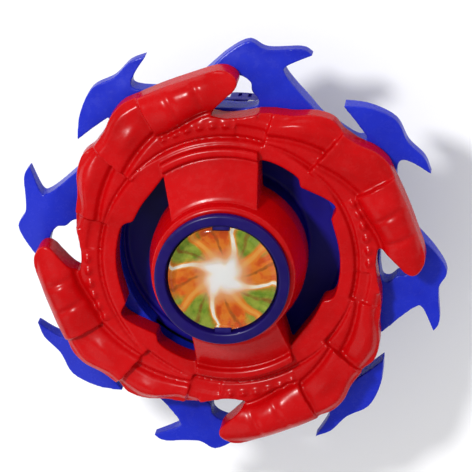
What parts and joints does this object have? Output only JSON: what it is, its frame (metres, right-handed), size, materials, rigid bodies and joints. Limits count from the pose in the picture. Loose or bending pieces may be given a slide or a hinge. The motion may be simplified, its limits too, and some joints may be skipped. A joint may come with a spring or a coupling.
{
  "type": "light up spinning top",
  "caption": "Launchable spinning top with a hooked attack ring over a bladed ring, a metal weight disk, a free-turning tip and a lit chip over button cells.",
  "frame": {"origin": "the point of the tip that meets the ground, on the spin axis", "axes": "+Z is the spin axis, from the tip to the chip; the launcher's prongs enter the slots at about +X and -X"},
  "size_m": [0.0596, 0.0596, 0.038],
  "materials": {
    "red_plastic": "glossy moulded red plastic",
    "blue_plastic": "glossy moulded blue plastic",
    "navy_plastic": "satin moulded navy plastic",
    "zinc_alloy": "cast and tumbled zinc",
    "steel": "ground steel",
    "black_plastic": "satin black plastic",
    "tip_plastic": "worn dark plastic",
    "white_nylon": "natural nylon",
    "clear_lens": "clear polished plastic",
    "printed_film": "printed translucent film with a plain pinwheel",
    "circuit_laminate": "green solder mask",
    "contact_brass": "plated spring brass",
    "cell_steel": "nickel plated steel",
    "wire_red": "red insulation",
    "wire_black": "black insulation",
    "led_red": "tinted clear resin",
    "led_green": "tinted clear resin",
    "led_blue": "tinted clear resin"
  },
  "bodies": {
    "base": {"bearing_outer_ring": "steel", "base_lower_shell": "navy_plastic", "base_upper_shell": "navy_plastic", "base_screw_1": "steel", "base_screw_2": "steel", "base_screw_3": "steel", "release_spring_left": "steel", "release_spring_right": "steel", "weight_disk": "zinc_alloy", "core_shell_left": "black_plastic", "core_shell_right": "black_plastic", "cell_holder": "white_nylon", "button_cell_bottom": "cell_steel", "button_cell_middle": "cell_steel", "button_cell_top": "cell_steel", "contact_negative": "contact_brass", "contact_positive": "contact_brass", "wire_negative": "wire_black", "wire_positive": "wire_red", "circuit_board": "circuit_laminate", "control_chip": "black_plastic", "led_red": "led_red", "led_green": "led_green", "led_blue": "led_blue", "switch_guide": "white_nylon", "switch_spring": "steel"},
    "crown": {"attack_ring": "red_plastic", "blade_ring": "blue_plastic"},
    "tip": {"tip_cap": "tip_plastic", "tip_shaft": "steel", "shaft_clip": "steel", "bearing_inner_ring": "steel"},
    "ball_cage": {"bearing_ball_cage": "steel"},
    "left_button": {"release_button_left": "navy_plastic"},
    "right_button": {"release_button_right": "navy_plastic"},
    "switch": {"switch_weight": "contact_brass"},
    "chip": {"chip_collar": "navy_plastic", "chip_sticker": "printed_film", "chip_lens": "clear_lens"}
  },
  "joints": [
    {"name": "tip_spin", "type": "hinge", "parent": "base", "child": "tip", "pos_m": [0, 0, 0.0087], "axis": [0, 0, 1], "continuous": true},
    {"name": "ball_cage_spin", "type": "hinge", "parent": "base", "child": "ball_cage", "pos_m": [0, 0, 0.0087], "axis": [0, 0, 1], "continuous": true},
    {"name": "ring_twist", "type": "hinge", "parent": "base", "child": "crown", "pos_m": [0, 0, 0.0258], "axis": [0, 0, 1], "range_deg": [0, 27]},
    {"name": "right_button_press", "type": "slide", "parent": "base", "child": "right_button", "axis": [-0.1994, -0.9799, 0], "range_m": [0, 0.001], "stiffness_N_per_m": 600, "deforming": ["release_spring_right"]},
    {"name": "left_button_press", "type": "slide", "parent": "base", "child": "left_button", "axis": [0.1994, 0.9799, 0], "range_m": [0, 0.001], "stiffness_N_per_m": 600, "deforming": ["release_spring_left"]},
    {"name": "switch_slide", "type": "slide", "parent": "base", "child": "switch", "axis": [1, 0, 0], "range_m": [0, 0.0009], "stiffness_N_per_m": 10, "deforming": ["switch_spring"]},
    {"name": "chip_lift", "type": "slide", "parent": "base", "child": "chip", "axis": [0, 0, 1], "range_m": [0, 0.008]}
  ],
  "couplings": [
    {"joint": "ball_cage_spin", "follows": "tip_spin", "ratio": 0.3926}
  ]
}
